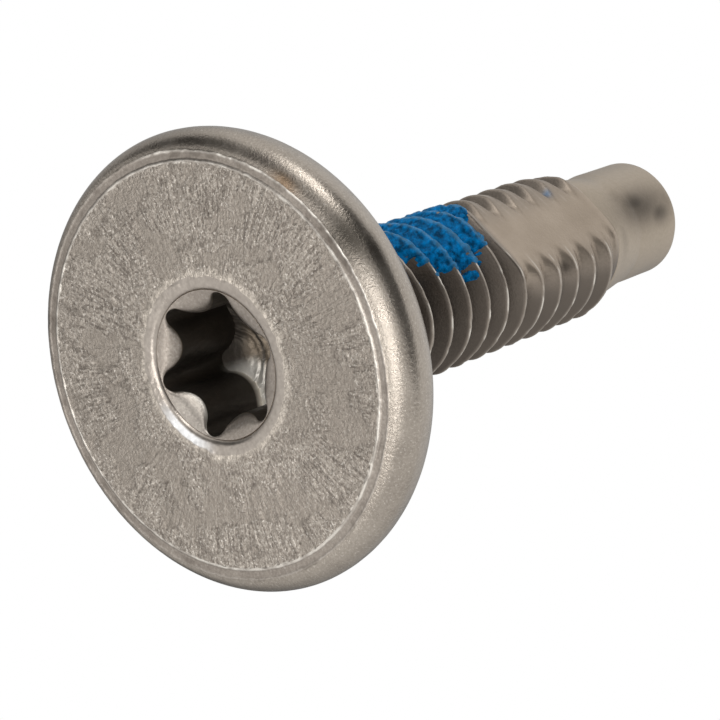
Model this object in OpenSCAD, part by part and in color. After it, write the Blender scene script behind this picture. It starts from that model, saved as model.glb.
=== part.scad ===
// Flat washer-head machine screw with a six-lobe socket, a rolled right-hand thread,
// a clearing flat, a dog point and a blue thread-lock patch.
// It stands on its head: the face lies on z = 0 and the shank points up.

/* [Head] */
// Outside diameter of the head
head_d = 17.5; // [15.5:0.1:24]
// Thickness of the head from its face to its bearing ring
head_h = 2.5; // [2.4:0.1:4]
// Distance from the outside of the head in to the raised field that the screw stands on
field_in = 1; // [0.8:0.05:2.5]
// Step down from the raised field to the outer land
field_step = 0.03; // [0.01:0.01:0.1]
// Distance from the outside of the head in to the place where the land rolls off
land_in = 0.55; // [0.4:0.05:0.65]
// Distance from the outside of the head in to the start of the round of the rim
edge_in = 0.15; // [0.05:0.01:0.3]
// Fall of the roll-off between those two places
edge_drop = 0.03; // [0.02:0.01:0.15]
// Height of the widest place of the rim above the face
belly_h = 0.78; // [0.4:0.01:1.4]
// Distance from the outside of the head in to the flat bearing ring under it
bearing_in = 1.55; // [0.8:0.05:3]

/* [Socket] */
// Width of the bevel round the mouth
mouth_w = 0.57; // [0.2:0.01:1.2]
// Depth of that bevel
mouth_h = 0.15; // [0.08:0.01:0.4]
// Gap between the foot of the bevel and the lobe tips
mouth_ease = 0.03; // [0.01:0.01:0.2]
// Fall of the six lands from the foot of the bevel to the waists
land_drop = 0.5; // [0.1:0.01:0.7]
// Width of the socket across two lobe tips
lobe_across = 5.6; // [5:0.05:6]
// Width of the socket across two waists
waist_across = 3.99; // [3.8:0.01:4.2]
// Radius of a lobe tip
lobe_tip_r = 0.45; // [0.35:0.01:0.55]
// Depth of the lobes below the face
socket_depth = 3.45; // [1.2:0.05:3.6]
// Extra depth of the shallow cone at the bottom
socket_cone_h = 0.4; // [0.1:0.05:0.5]
// Angle of the first lobe
socket_turn = 31; // [0:1:60]

/* [Shank] */
// Length from the bearing ring to the tip
shank_l = 25.6; // [18:0.1:36]
// Outside diameter of the thread and of the neck
thread_d = 6.3; // [5.9:0.05:7]
// Distance between two crests
pitch = 1.27; // [1.1:0.01:1.4]
// Radial depth of the thread
thread_depth = 0.73; // [0.5:0.01:0.8]
// Width of the crest
crest_w = 0.16; // [0.08:0.01:0.25]
// Width of the root
root_w = 0.22; // [0.1:0.01:0.3]
// Length over which the crest rises or fades at each end
runout_l = 0.75; // [0.3:0.05:1.2]
// Length of the plain neck under the head
neck_l = 1.3; // [1.3:0.1:3]
// Radius of the fillet between the head and the neck
neck_fillet_r = 0.4; // [0.1:0.05:0.8]

/* [Point] */
// Height of the dog point's side over the thread's root
dog_rise = 0.06; // [0.02:0.01:0.2]
// Length of the dog point
dog_l = 3; // [1.5:0.1:5]
// Radius of the round at the tip
dog_round_r = 0.22; // [0.1:0.01:0.8]
// Height over the thread's root of the shoulder between the thread and the dog point
shoulder_rise = 0.37; // [0.25:0.01:0.5]
// Length of the cone from the shoulder to the dog point
shoulder_l = 1.8; // [1.6:0.1:2.2]
// Length of the rounded back of the shoulder
shoulder_back_l = 0.4; // [0.2:0.05:0.6]

/* [Clearing flat] */
// Depth of the flat below the thread's root
flat_sink = 0.12; // [0.05:0.01:0.3]
// Length of the flat, back from the dog point
flat_l = 8.75; // [4:0.05:12]
// Direction that the flat faces
flat_turn = -116; // [-180:1:180]

/* [Thread-lock patch] */
// Angle of the middle of the patch
patch_turn = 190; // [90:10:270]
// Angle that the patch covers round the thread
patch_span = 130; // [60:10:160]
// Length of bare thread between the bearing ring and the patch
patch_start = 2.75; // [2.6:0.05:6]
// Least length of bare thread between the patch and the clearing flat
patch_gap = 0.6; // [0.5:0.05:3]
// Thickness of the film over the crests and along the edges
patch_film = 0.04; // [0.02:0.01:0.08]
// Share of the groove that the patch fills
patch_fill_share = 0.55; // [0.2:0.05:0.8]

/* [Hidden] */

// Colours of the bare steel and of the nylon patch
steel_colour = [0.58, 0.55, 0.51];
patch_colour = [0.05, 0.36, 0.66];

// Segments of one quarter of an edge curve and of one arc of the socket
curve_steps = 10;
arc_steps = 7;
round_fn = 96;

// How far one solid reaches into its neighbour, and how far a cut overruns
sink = 0.12;
overrun = 0.5;

head_r = head_d / 2;
field_r = head_r - field_in;
land_r = head_r - land_in;
edge_r = head_r - edge_in;
edge_h = field_step + edge_drop;
bearing_r = head_r - bearing_in;
mouth_foot_r = lobe_across / 2 + mouth_ease;
mouth_r = mouth_foot_r + mouth_w;
waist_h = mouth_h + land_drop;
crest_r = thread_d / 2;
// Least steel round the lobes and under the neck's end; where the neck leaves no such wall round
// the lobes, the socket stays within the head
least_wall = 0.2;
neck_holds_lobes = crest_r - lobe_across / 2 > least_wall;
socket_room = neck_holds_lobes ? head_h + neck_l - least_wall : head_h - least_wall;
socket_h = min(socket_depth, socket_room);
root_r = crest_r - thread_depth;
dog_r = root_r + dog_rise;
shoulder_r = root_r + shoulder_rise;
flat_r = root_r - flat_sink;
neck_top_z = head_h + neck_l;
tip_z = head_h + shank_l;
dog_z = tip_z - dog_l;
shoulder_z = dog_z - shoulder_l;

// Steps round one turn of the thread, and stations across one pitch
turn_steps = 36;
pitch_stations = 4;
flank_w = (pitch - crest_w - root_w) / 2;
// Height of the first crest above the bearing ring, at angle 0
helix_rise_share = 0.425;
helix_z = head_h + pitch * helix_rise_share;
helix_turns = floor((dog_z - helix_z) / pitch) - 1;
helix_rows = pitch_stations * helix_turns + 1;
thread_low_z = helix_z + pitch;
thread_high_z = helix_z + pitch * helix_turns;

// Whole turns of thread below the patch and under it
patch_skip = floor(patch_start / pitch);
patch_end_share = (patch_turn + patch_span / 2) / 360;
patch_room = dog_z - flat_l - patch_gap - helix_z;
patch_turns = max(1, floor(patch_room / pitch - patch_end_share) - patch_skip);

// A point of a profile or a face, from its radius and angle
function polar(r, a) = [r * cos(a), r * sin(a)];

// Radius of the arc between two lobes, tangent to both lobe tips
lobe_c = lobe_across / 2 - lobe_tip_r;
waist_r = waist_across / 2;
arc_gap = 2 * (waist_r - lobe_c * cos(30) - lobe_tip_r);
waist_arc_r = (lobe_tip_r * lobe_tip_r - lobe_c * lobe_c - waist_r * waist_r
    + 2 * lobe_c * waist_r * cos(30)) / arc_gap;
waist_c = waist_r + waist_arc_r;
// Direction from the centre of a lobe tip to the centre of the next waist arc
meet_a = atan2(waist_c * sin(30), waist_c * cos(30) - lobe_c);

// Outline of the six-lobe socket: a tip arc and a waist arc, six times round
socket_outline = [
    for (lobe = [0:5], step = [0:2 * arc_steps - 1])
        let (turn = socket_turn + 60 * lobe)
        step < arc_steps
        ? let (a = -meet_a + 2 * meet_a * step / arc_steps)
            polar(lobe_c, turn) + polar(lobe_tip_r, turn + a)
        : let (share = (step - arc_steps) / arc_steps, half = meet_a - 30)
            polar(waist_c, turn + 30) + polar(waist_arc_r, turn + 210 + half - 2 * half * share)
];

// Radius and height of each corner of the head and neck, from the axis outwards
head_profile = concat(
    [
        [0, waist_h],
        [waist_r - sink, waist_h],
        [mouth_foot_r, mouth_h],
        [mouth_r, 0],
        [field_r, 0],
        [field_r + field_step, field_step],
        [land_r, field_step],
    ],
    [
        for (step = [0:curve_steps])
            let (a = 90 * step / curve_steps)
            [edge_r + (head_r - edge_r) * sin(a), belly_h - (belly_h - edge_h) * cos(a)]
    ],
    [
        for (step = [1:curve_steps])
            let (a = 90 * step / curve_steps)
            [bearing_r + (head_r - bearing_r) * cos(a), belly_h + (head_h - belly_h) * sin(a)]
    ],
    [
        for (step = [0:curve_steps])
            [crest_r + neck_fillet_r, head_h + neck_fillet_r]
                + polar(neck_fillet_r, -90 - 90 * step / curve_steps)
    ],
    [
        [crest_r, neck_top_z],
        [root_r - sink, neck_top_z + thread_depth + sink],
        [0, neck_top_z + thread_depth + sink],
    ]
);

// Radius and height of each corner of the shoulder and the dog point
point_profile = concat(
    [
        [0, shoulder_z - shoulder_back_l],
        [root_r - sink, shoulder_z - shoulder_back_l],
        [shoulder_r, shoulder_z],
        [dog_r, dog_z],
    ],
    [
        for (step = [0:curve_steps])
            [dog_r - dog_round_r, tip_z - dog_round_r] + polar(dog_round_r, 90 * step / curve_steps)
    ],
    [[0, tip_z]]
);

// Place across the pitch of each station: both sides of the crest, then both of the root
station_rises = [-crest_w / 2, crest_w / 2, crest_w / 2 + flank_w, crest_w / 2 + flank_w + root_w];

// Height of a point of the helix, from its row and its step round the turn
function helix_height(row, step) =
    helix_z + pitch * floor(row / pitch_stations) + station_rises[row % pitch_stations]
    + pitch * step / turn_steps;

// Share of the full thread depth at a height, from 0 in the run-outs to 1 between them
function runout_share(z) =
    min(1, max(0, min(z - thread_low_z, thread_high_z - z) / runout_l));

// Radius of the thread's surface at a point of the helix
function helix_radius(row, step) =
    row % pitch_stations < 2
    ? root_r + thread_depth * runout_share(helix_height(row, step))
    : root_r;

// A point of the thread's surface, lifted by a thickness of coating
function helix_point(row, step, lift) =
    let (flat_point = polar(helix_radius(row, step) + lift, 360 * step / turn_steps))
    [flat_point[0], flat_point[1], helix_height(row, step)];

// Number of a point in the list, where a step past the end is on the next turn
function helix_index(row, step) =
    step < turn_steps
    ? row * turn_steps + step
    : (row + pitch_stations) * turn_steps + step - turn_steps;

// Threaded core as one closed skin that follows the helix, with a spiral cap at each end
module threaded_core() {
    points = concat(
        [for (row = [0:helix_rows - 1], step = [0:turn_steps - 1]) helix_point(row, step, 0)],
        [[0, 0, helix_height(0, 0)], [0, 0, helix_height(helix_rows - 1, turn_steps - 1)]]
    );
    low_centre = helix_rows * turn_steps;
    high_centre = low_centre + 1;
    last_row = helix_rows - 1;
    last_step = turn_steps - 1;
    walls = [
        for (row = [0:last_row - 1], step = [0:last_step])
            if (step < last_step || row + pitch_stations < last_row)
                each [
                    [helix_index(row, step), helix_index(row + 1, step), helix_index(row + 1, step + 1)],
                    [helix_index(row, step), helix_index(row + 1, step + 1), helix_index(row, step + 1)],
                ]
    ];
    low_loop = concat(
        [for (step = [0:turn_steps]) helix_index(0, step)],
        [for (row = [pitch_stations - 1:-1:1]) helix_index(row, 0)]
    );
    high_loop = concat(
        [for (step = [0:last_step]) helix_index(last_row, step)],
        [for (row = [1:pitch_stations]) helix_index(last_row - row, last_step)]
    );
    low_cap = [
        for (k = [0:len(low_loop) - 1])
            [low_loop[k], low_loop[(k + 1) % len(low_loop)], low_centre]
    ];
    high_cap = [
        for (k = [0:len(high_loop) - 1])
            [high_loop[(k + 1) % len(high_loop)], high_loop[k], high_centre]
    ];
    polyhedron(points = points, faces = concat(walls, low_cap, high_cap), convexity = 20);
}

// Six-lobe recess with a shallow conical bottom
module socket() {
    deep_z = socket_h + socket_cone_h;
    intersection() {
        translate([0, 0, mouth_h - sink])
            linear_extrude(height = deep_z - mouth_h + sink)
                polygon(socket_outline);
        rotate_extrude($fn = round_fn)
            polygon([[0, 0], [lobe_across / 2 + sink, 0], [lobe_across / 2 + sink, socket_h], [0, deep_z]]);
    }
}

// Head with its bevelled mouth, bearing ring, fillet and plain neck
module head() {
    rotate_extrude($fn = round_fn)
        polygon(head_profile);
}

// Shoulder cone and dog point
module point() {
    rotate_extrude($fn = round_fn)
        polygon(point_profile);
}

// Block that takes the threads away along one side, up to the dog point
module clearing_cut() {
    rotate([0, 0, flat_turn])
        translate([flat_r, -thread_d, dog_z - flat_l])
            cube([thread_depth + overrun, 2 * thread_d, flat_l]);
}

// The whole screw, one piece of steel
module screw() {
    color(steel_colour)
        difference() {
            union() {
                head();
                difference() {
                    union() {
                        threaded_core();
                        point();
                    }
                    clearing_cut();
                }
            }
            socket();
        }
}

// Thickness of the patch: a film on the crests and edges, deeper in the grooves
function patch_lift(row, step, rows, steps) =
    row % pitch_stations < 2 || row == 0 || row == rows || step == 0 || step == steps
    ? patch_film
    : patch_film + thread_depth * patch_fill_share;

// Nylon patch fused on the thread: its inner side is the thread's own surface
module thread_lock_patch() {
    first_row = pitch_stations * patch_skip;
    rows = pitch_stations * patch_turns;
    steps = round(patch_span / 360 * turn_steps);
    first_step = round(patch_turn / 360 * turn_steps - steps / 2);
    width = steps + 1;
    sheet = (rows + 1) * width;
    points = concat(
        [for (row = [0:rows], step = [0:steps]) helix_point(first_row + row, first_step + step, 0)],
        [
            for (row = [0:rows], step = [0:steps])
                helix_point(first_row + row, first_step + step, patch_lift(row, step, rows, steps))
        ]
    );
    sheets = [
        for (row = [0:rows - 1], step = [0:steps - 1])
            let (a = row * width + step, b = a + 1, c = a + width, d = c + 1)
            each [[a, d, c], [a, b, d], [sheet + a, sheet + c, sheet + d], [sheet + a, sheet + d, sheet + b]]
    ];
    side_edges = [
        for (row = [0:rows - 1])
            each [
                [row * width, (row + 1) * width],
                [(row + 1) * width + steps, row * width + steps],
            ]
    ];
    end_edges = [
        for (step = [0:steps - 1])
            each [[step + 1, step], [rows * width + step, rows * width + step + 1]]
    ];
    rims = [
        for (edge = concat(side_edges, end_edges))
            each [
                [edge[0], edge[1], sheet + edge[1]],
                [edge[0], sheet + edge[1], sheet + edge[0]],
            ]
    ];
    color(patch_colour)
        polyhedron(points = points, faces = concat(sheets, rims), convexity = 20);
}

screw();
thread_lock_patch();
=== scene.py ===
"""Looks of the washer-head machine screw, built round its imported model.

The screw stands on its head: the face lies on z = 0 and the shank points up.
Sizes are in millimetres until a mesh is written, which is in metres.
"""

from __future__ import annotations

import logging
import math
from collections.abc import Sequence
from dataclasses import dataclass, field
from enum import Enum

import bpy
import numpy as np
from mathutils import Matrix, Vector, noise


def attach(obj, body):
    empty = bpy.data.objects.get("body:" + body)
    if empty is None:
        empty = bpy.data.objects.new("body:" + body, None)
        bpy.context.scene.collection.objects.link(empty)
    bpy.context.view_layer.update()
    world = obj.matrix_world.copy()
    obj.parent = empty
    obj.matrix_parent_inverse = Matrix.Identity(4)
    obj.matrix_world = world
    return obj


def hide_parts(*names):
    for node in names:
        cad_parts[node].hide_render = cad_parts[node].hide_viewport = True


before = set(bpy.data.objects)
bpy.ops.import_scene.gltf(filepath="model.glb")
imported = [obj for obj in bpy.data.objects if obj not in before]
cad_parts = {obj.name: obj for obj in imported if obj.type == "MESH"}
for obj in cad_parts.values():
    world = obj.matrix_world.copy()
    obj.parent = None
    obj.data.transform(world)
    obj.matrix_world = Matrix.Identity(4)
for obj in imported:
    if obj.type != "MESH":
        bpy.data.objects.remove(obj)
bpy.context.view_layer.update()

LOG = logging.getLogger("screw")
MM = 0.001
FULL = 2 * math.pi
MERGE_MM = 0.0004


class Zone(Enum):
    """Parts of the screw's skin that were made in different ways, in the order of their material slots."""

    FIELD = 0
    LAND = 1
    MOUTH = 2
    SOCKET = 3
    RIM = 4


def linear(code: str) -> tuple[float, float, float, float]:
    """Turns a colour written as sRGB hex into linear light.

    Args:
        code: The colour, such as "#8f8880".

    Returns:
        Red, green, blue and an alpha of one.
    """
    channels = [int(code[i : i + 2], 16) / 255 for i in (1, 3, 5)]
    light = [c / 12.92 if c <= 0.04045 else ((c + 0.055) / 1.055) ** 2.4 for c in channels]
    return light[0], light[1], light[2], 1.0


def per_mm(size: float) -> float:
    """Gives the texture scale at which one feature is about size millimetres wide."""
    return 1 / (size * MM)


def polar(radius: float, angle: float) -> tuple[float, float]:
    """Gives the point at a radius and an angle in radians."""
    return radius * math.cos(angle), radius * math.sin(angle)


def turn_from(angle: np.ndarray, middle: float) -> np.ndarray:
    """Gives how far directions lie from a middle one, from -180 to 180 degrees."""
    return (angle - middle + 180) % 360 - 180


def ease(value: np.ndarray | float, low: float, high: float) -> np.ndarray:
    """Rises smoothly from 0 at low to 1 at high.

    Args:
        value: Where the rise is read.
        low: Place at which it starts.
        high: Place at which it ends, which may lie below low.

    Returns:
        The eased share.
    """
    share = np.clip((np.asarray(value) - low) / (high - low), 0, 1)
    return share * share * (3 - 2 * share)


def fuzz(points: np.ndarray, size: float, octaves: int = 2, seed: float = 0.0) -> np.ndarray:
    """Reads smooth noise at a set of points.

    Args:
        points: Places in millimetres, one a row.
        size: Width of one feature in millimetres.
        octaves: Number of finer layers.
        seed: Shift that gives another pattern.

    Returns:
        Values from about -1 to 1, one a point.
    """
    shift = Vector((seed, 1.7 * seed, 2.3 * seed))
    scaled = points / size
    return np.array([noise.fractal(Vector(p) + shift, 1.0, 2.0, octaves) for p in scaled.tolist()])


def deselect_all() -> None:
    """Clears the selection in object mode."""
    if bpy.context.object and bpy.context.object.mode != "OBJECT":
        bpy.ops.object.mode_set(mode="OBJECT")
    bpy.ops.object.select_all(action="DESELECT")


def trace_profile(name: str, points: Sequence[tuple[float, float]]) -> bpy.types.Object:
    """Draws a profile as a chain of extruded vertices in the XZ plane.

    Args:
        name: Name of the new piece.
        points: Radius and height of each corner, in millimetres.

    Returns:
        The new piece, a chain of edges.
    """
    deselect_all()
    bpy.ops.mesh.primitive_plane_add(size=MM)
    piece = bpy.context.object
    piece.name = piece.data.name = name
    bpy.ops.object.mode_set(mode="EDIT")
    bpy.ops.mesh.select_all(action="SELECT")
    bpy.ops.mesh.merge(type="CENTER")
    bpy.ops.transform.translate(value=(points[0][0] * MM, 0, points[0][1] * MM))
    for here, there in zip(points, points[1:]):
        step = ((there[0] - here[0]) * MM, 0, (there[1] - here[1]) * MM)
        bpy.ops.mesh.extrude_vertices_move(TRANSFORM_OT_translate={"value": step})
    bpy.ops.object.mode_set(mode="OBJECT")
    return piece


def sweep(
    piece: bpy.types.Object, steps: int, rise: float = 0.0, turns: int = 1, angle: float = FULL
) -> None:
    """Turns a profile round Z, climbing by rise on each turn.

    Args:
        piece: The chain of edges.
        steps: Number of steps in one turn or part of a turn.
        rise: Climb on each turn, in millimetres.
        turns: Number of turns.
        angle: Angle of one turn in radians.
    """
    made = piece.modifiers.new("turned", "SCREW")
    made.axis = "Z"
    made.angle = angle
    made.steps = made.render_steps = steps
    made.screw_offset = rise * MM
    made.iterations = turns
    made.use_merge_vertices = False
    bpy.ops.object.modifier_apply(modifier=made.name)


def sweep_chart(
    name: str, count: int, steps: int, rise: float = 0.0, turns: int = 1, angle: float = FULL
) -> tuple[bpy.types.Object, np.ndarray, np.ndarray]:
    """Sweeps a flat chain whose vertices are then laid on a surface.

    Args:
        name: Name of the new piece.
        count: Number of vertices in the chain.
        steps: Number of steps in one turn or part of a turn.
        rise: Climb on each turn, in millimetres.
        turns: Number of turns.
        angle: Angle of one turn in radians.

    Returns:
        The piece, and the step and the place in the chain of each vertex.
    """
    spacing = 0.01
    piece = trace_profile(name, [(spacing * (k + 1), 0.0) for k in range(count)])
    sweep(piece, steps, rise, turns, angle)
    points = read_points(piece)
    chain = np.rint(np.hypot(points[:, 0], points[:, 1]) / spacing).astype(int) - 1
    return piece, np.arange(len(points)) // count, chain


def read_points(piece: bpy.types.Object) -> np.ndarray:
    """Gives the piece's vertices in millimetres, one a row."""
    flat = np.empty(len(piece.data.vertices) * 3, dtype=np.float32)
    piece.data.vertices.foreach_get("co", flat)
    return flat.astype(float).reshape(-1, 3) / MM


def write_points(piece: bpy.types.Object, points: np.ndarray) -> None:
    """Moves the piece's vertices to places in millimetres."""
    piece.data.vertices.foreach_set("co", (points * MM).astype(np.float32).ravel())
    piece.data.update()


def write_mark(piece: bpy.types.Object, name: str, values: np.ndarray) -> None:
    """Stores one number a vertex under a name that a material can read."""
    mark = piece.data.attributes.new(name, "FLOAT", "POINT")
    mark.data.foreach_set("value", values.astype(np.float32).ravel())


def close_skin(piece: bpy.types.Object, angle: float = 40.0, caps: bool = False) -> None:
    """Merges seams and poles, closes open ends, turns faces outwards and smooths them.

    Args:
        piece: The piece to finish.
        angle: Edges sharper than this many degrees stay sharp.
        caps: Whether open ends get a cap.
    """
    deselect_all()
    piece.select_set(True)
    bpy.context.view_layer.objects.active = piece
    bpy.ops.object.mode_set(mode="EDIT")
    bpy.ops.mesh.select_all(action="SELECT")
    bpy.ops.mesh.remove_doubles(threshold=MERGE_MM * MM)
    if caps:
        bpy.ops.mesh.fill_holes(sides=0)
    bpy.ops.mesh.select_all(action="SELECT")
    bpy.ops.mesh.normals_make_consistent(inside=False)
    bpy.ops.object.mode_set(mode="OBJECT")
    bpy.ops.object.shade_smooth_by_angle(angle=math.radians(angle))


def add_node(
    tree: bpy.types.NodeTree, kind: str, inputs: dict | None = None, **settings: object
) -> bpy.types.Node:
    """Adds one node with its settings, values and links.

    Args:
        tree: The node tree.
        kind: Blender's name for the node, without its first word.
        inputs: Socket name or number to a value, or to the socket that feeds it.
        settings: Properties of the node.

    Returns:
        The new node.
    """
    made = tree.nodes.new("ShaderNode" + kind)
    for key, value in settings.items():
        setattr(made, key, value)
    for key, value in (inputs or {}).items():
        if isinstance(value, bpy.types.NodeSocket):
            tree.links.new(value, made.inputs[key])
        else:
            made.inputs[key].default_value = value
    return made


def work_out(tree: bpy.types.NodeTree, operation: str, *values: object) -> bpy.types.NodeSocket:
    """Adds a node that does one sum with its values, which are numbers or sockets."""
    return add_node(tree, "Math", dict(enumerate(values)), operation=operation).outputs[0]


def stretch(
    tree: bpy.types.NodeTree, value: object, low: float, high: float, first: float = 0.0, last: float = 1.0
) -> bpy.types.NodeSocket:
    """Adds a node that turns what runs from low to high into what runs from first to last.

    Args:
        tree: The node tree.
        value: The socket that is stretched.
        low: Value that becomes first.
        high: Value that becomes last.
        first: What comes out at low and below.
        last: What comes out at high and above.

    Returns:
        The stretched value.
    """
    ends = {"From Min": low, "From Max": high, "To Min": first, "To Max": last}
    return add_node(tree, "MapRange", {"Value": value, **ends}).outputs[0]


def mix_colours(
    tree: bpy.types.NodeTree, colour: object, share: bpy.types.NodeSocket, code: str
) -> bpy.types.NodeSocket:
    """Mixes another colour in.

    Args:
        tree: The node tree.
        colour: The colour so far.
        share: Share of the other colour.
        code: The other colour, as sRGB hex.

    Returns:
        The mixed colour.
    """
    return add_node(tree, "Mix", {0: share, 6: colour, 7: linear(code)}, data_type="RGBA").outputs[2]


def new_material(name: str) -> tuple[bpy.types.Material, bpy.types.NodeTree]:
    """Makes an empty node material.

    Args:
        name: What the material is.

    Returns:
        The material and its node tree.
    """
    made = bpy.data.materials.new(name)
    made.use_nodes = True
    made.node_tree.nodes.clear()
    return made, made.node_tree


@dataclass(frozen=True)
class Mark:
    """Colour that a finish takes where a number stored on the piece says so."""

    name: str
    colour: str
    share: float = 1.0
    speckle: float = 0.0


@dataclass(frozen=True)
class SteelFinish:
    """Bare carbon steel as one way of forming leaves it."""

    name: str
    dark: str
    light: str
    rough_low: float
    rough_high: float
    grain: float
    grain_depth: float
    mottle: float = 1.6
    mottle_share: float = 0.35
    glint: float = 0.0
    streak_count: float = 0.0
    streak_depth: float = 0.0
    marks: tuple[Mark, ...] = ()
    metal: float = 1.0
    streak_tones: tuple[tuple[float, float, str, float], ...] = (
        (0.49, 0.36, "#544c45", 0.75), (0.55, 0.69, "#d8cfc3", 0.5),
    )
    glint_colour: str = "#ebe4da"

    def material(self) -> bpy.types.Material:
        """Builds the finish from its grain, mottling, forming marks and stored marks.

        Returns:
            The material.
        """
        made, tree = new_material(self.name)
        place = add_node(tree, "TexCoord").outputs["Object"]
        grain = self.noise(tree, place, self.grain, 0.66)
        mottle = self.noise(tree, place, self.mottle, 0.55)
        fine, slow = stretch(tree, grain, 0.34, 0.66), stretch(tree, mottle, 0.34, 0.66)
        shade = add_node(tree, "Mix", {0: self.mottle_share, 2: fine, 3: slow}, data_type="FLOAT").outputs[0]
        colour = mix_colours(tree, linear(self.dark), shade, self.light)
        height, depth = grain, self.grain_depth
        if self.streak_count:
            lines = self.streak_lines(tree, place)
            height = work_out(tree, "MULTIPLY_ADD", lines, self.streak_depth / depth, grain)
            flow = add_node(tree, "Attribute", attribute_name="flow").outputs["Fac"]
            for start, full, code, most in self.streak_tones:
                share = work_out(tree, "MULTIPLY", stretch(tree, lines, start, full, last=most), flow)
                colour = mix_colours(tree, colour, share, code)
        # painted highlights: bright specks mixed into the colour
        if self.glint:
            specks = self.noise(tree, place, self.grain * 0.8, 0.5)
            bright = stretch(tree, specks, 0.58, 0.68, last=self.glint)
            colour = mix_colours(tree, colour, bright, self.glint_colour)
        for mark in self.marks:
            share = add_node(tree, "Attribute", attribute_name=mark.name).outputs["Fac"]
            share = work_out(tree, "MULTIPLY", share, mark.share)
            if mark.speckle:
                spread = stretch(tree, fine, 0.0, 1.0, first=1 - mark.speckle)
                share = work_out(tree, "MULTIPLY", share, spread)
            colour = mix_colours(tree, colour, share, mark.colour)
        rough = stretch(tree, mottle, 0.3, 0.7, self.rough_low, self.rough_high)
        bump = add_node(tree, "Bump", {"Height": height, "Distance": depth * MM, "Strength": 1.0}).outputs[0]
        looks = {"Base Color": colour, "Metallic": self.metal, "Roughness": rough, "Normal": bump}
        shader = add_node(tree, "BsdfPrincipled", looks).outputs[0]
        add_node(tree, "OutputMaterial", {"Surface": shader})
        return made

    def noise(
        self, tree: bpy.types.NodeTree, place: bpy.types.NodeSocket, size: float, rough: float
    ) -> bpy.types.NodeSocket:
        """Adds a noise whose features are about size millimetres wide.

        Args:
            tree: The node tree.
            place: The point on the piece.
            size: Width of one feature.
            rough: Strength of the finer layers.

        Returns:
            The noise, near 0.5.
        """
        values = {"Vector": place, "Scale": per_mm(size), "Detail": 3.0, "Roughness": rough}
        return add_node(tree, "TexNoise", values).outputs["Fac"]

    def streak_lines(self, tree: bpy.types.NodeTree, place: bpy.types.NodeSocket) -> bpy.types.NodeSocket:
        """Draws fine lines that run outwards from the axis.

        Args:
            tree: The node tree.
            place: The point on the piece.

        Returns:
            The lines' strength.
        """
        flat = add_node(tree, "VectorMath", {0: place, 1: (1, 1, 0)}, operation="MULTIPLY").outputs[0]
        reach = add_node(tree, "VectorMath", {0: flat}, operation="LENGTH").outputs["Value"]
        round_place = add_node(tree, "VectorMath", {0: flat}, operation="NORMALIZE").outputs[0]
        lift = add_node(tree, "CombineXYZ", {"Z": work_out(tree, "MULTIPLY", reach, 0.02 / MM)}).outputs[0]
        spread = add_node(tree, "VectorMath", {0: round_place, 1: lift}, operation="ADD").outputs[0]
        values = {"Vector": spread, "Scale": self.streak_count / 6, "Detail": 4.0, "Roughness": 0.6}
        return add_node(tree, "TexNoise", values).outputs["Fac"]


@dataclass(frozen=True)
class NylonFinish:
    """Blue nylon powder that was fused on the warm thread."""

    name: str = "fused_nylon_powder"
    deep: str = "#00446a"
    body: str = "#0090dc"
    dusty: str = "#6aa2c4"
    lump: float = 0.24
    lump_depth: float = 0.09
    rough: float = 0.34
    dusty_share: float = 0.4

    def material(self) -> bpy.types.Material:
        """Builds the finish: a lumpy satin skin, paler and dusty where it is thin over the crests.

        Returns:
            The material.
        """
        made, tree = new_material(self.name)
        place = add_node(tree, "TexCoord").outputs["Object"]
        values = {"Vector": place, "Scale": per_mm(self.lump), "Detail": 3.0, "Roughness": 0.6}
        lumps = add_node(tree, "TexNoise", values).outputs["Fac"]
        colour = mix_colours(tree, linear(self.deep), stretch(tree, lumps, 0.36, 0.72), self.body)
        thin = add_node(tree, "Attribute", attribute_name="thin").outputs["Fac"]
        colour = mix_colours(tree, colour, work_out(tree, "MULTIPLY", thin, self.dusty_share), self.dusty)
        relief = {"Height": lumps, "Distance": self.lump_depth * MM, "Strength": 1.0}
        bump = add_node(tree, "Bump", relief).outputs[0]
        looks = {"Base Color": colour, "Roughness": self.rough, "IOR": 1.4, "Specular IOR Level": 0.08}
        looks["Normal"] = bump
        shader = add_node(tree, "BsdfPrincipled", looks).outputs[0]
        add_node(tree, "OutputMaterial", {"Surface": shader})
        return made


@dataclass(frozen=True)
class Spot:
    """A soft mark on the skin: direction in degrees, height, half its width and length, and strength."""

    angle: float
    height: float
    across: float
    along: float
    share: float


def lay_spots(spots: Sequence[Spot], angle: np.ndarray, height: np.ndarray, radius: np.ndarray) -> np.ndarray:
    """Adds up soft marks on a round skin.

    Args:
        spots: The marks.
        angle: Direction of each point in degrees.
        height: Height of each point.
        radius: Radius of each point.

    Returns:
        Strength at each point, from 0 to 1.
    """
    total = np.zeros(angle.shape)
    for spot in spots:
        across = np.radians(turn_from(angle, spot.angle)) * radius / spot.across
        off = across**2 + ((height - spot.height) / spot.along) ** 2
        total = np.maximum(total, spot.share * np.exp(-off))
    return np.clip(total, 0, 1)


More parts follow.
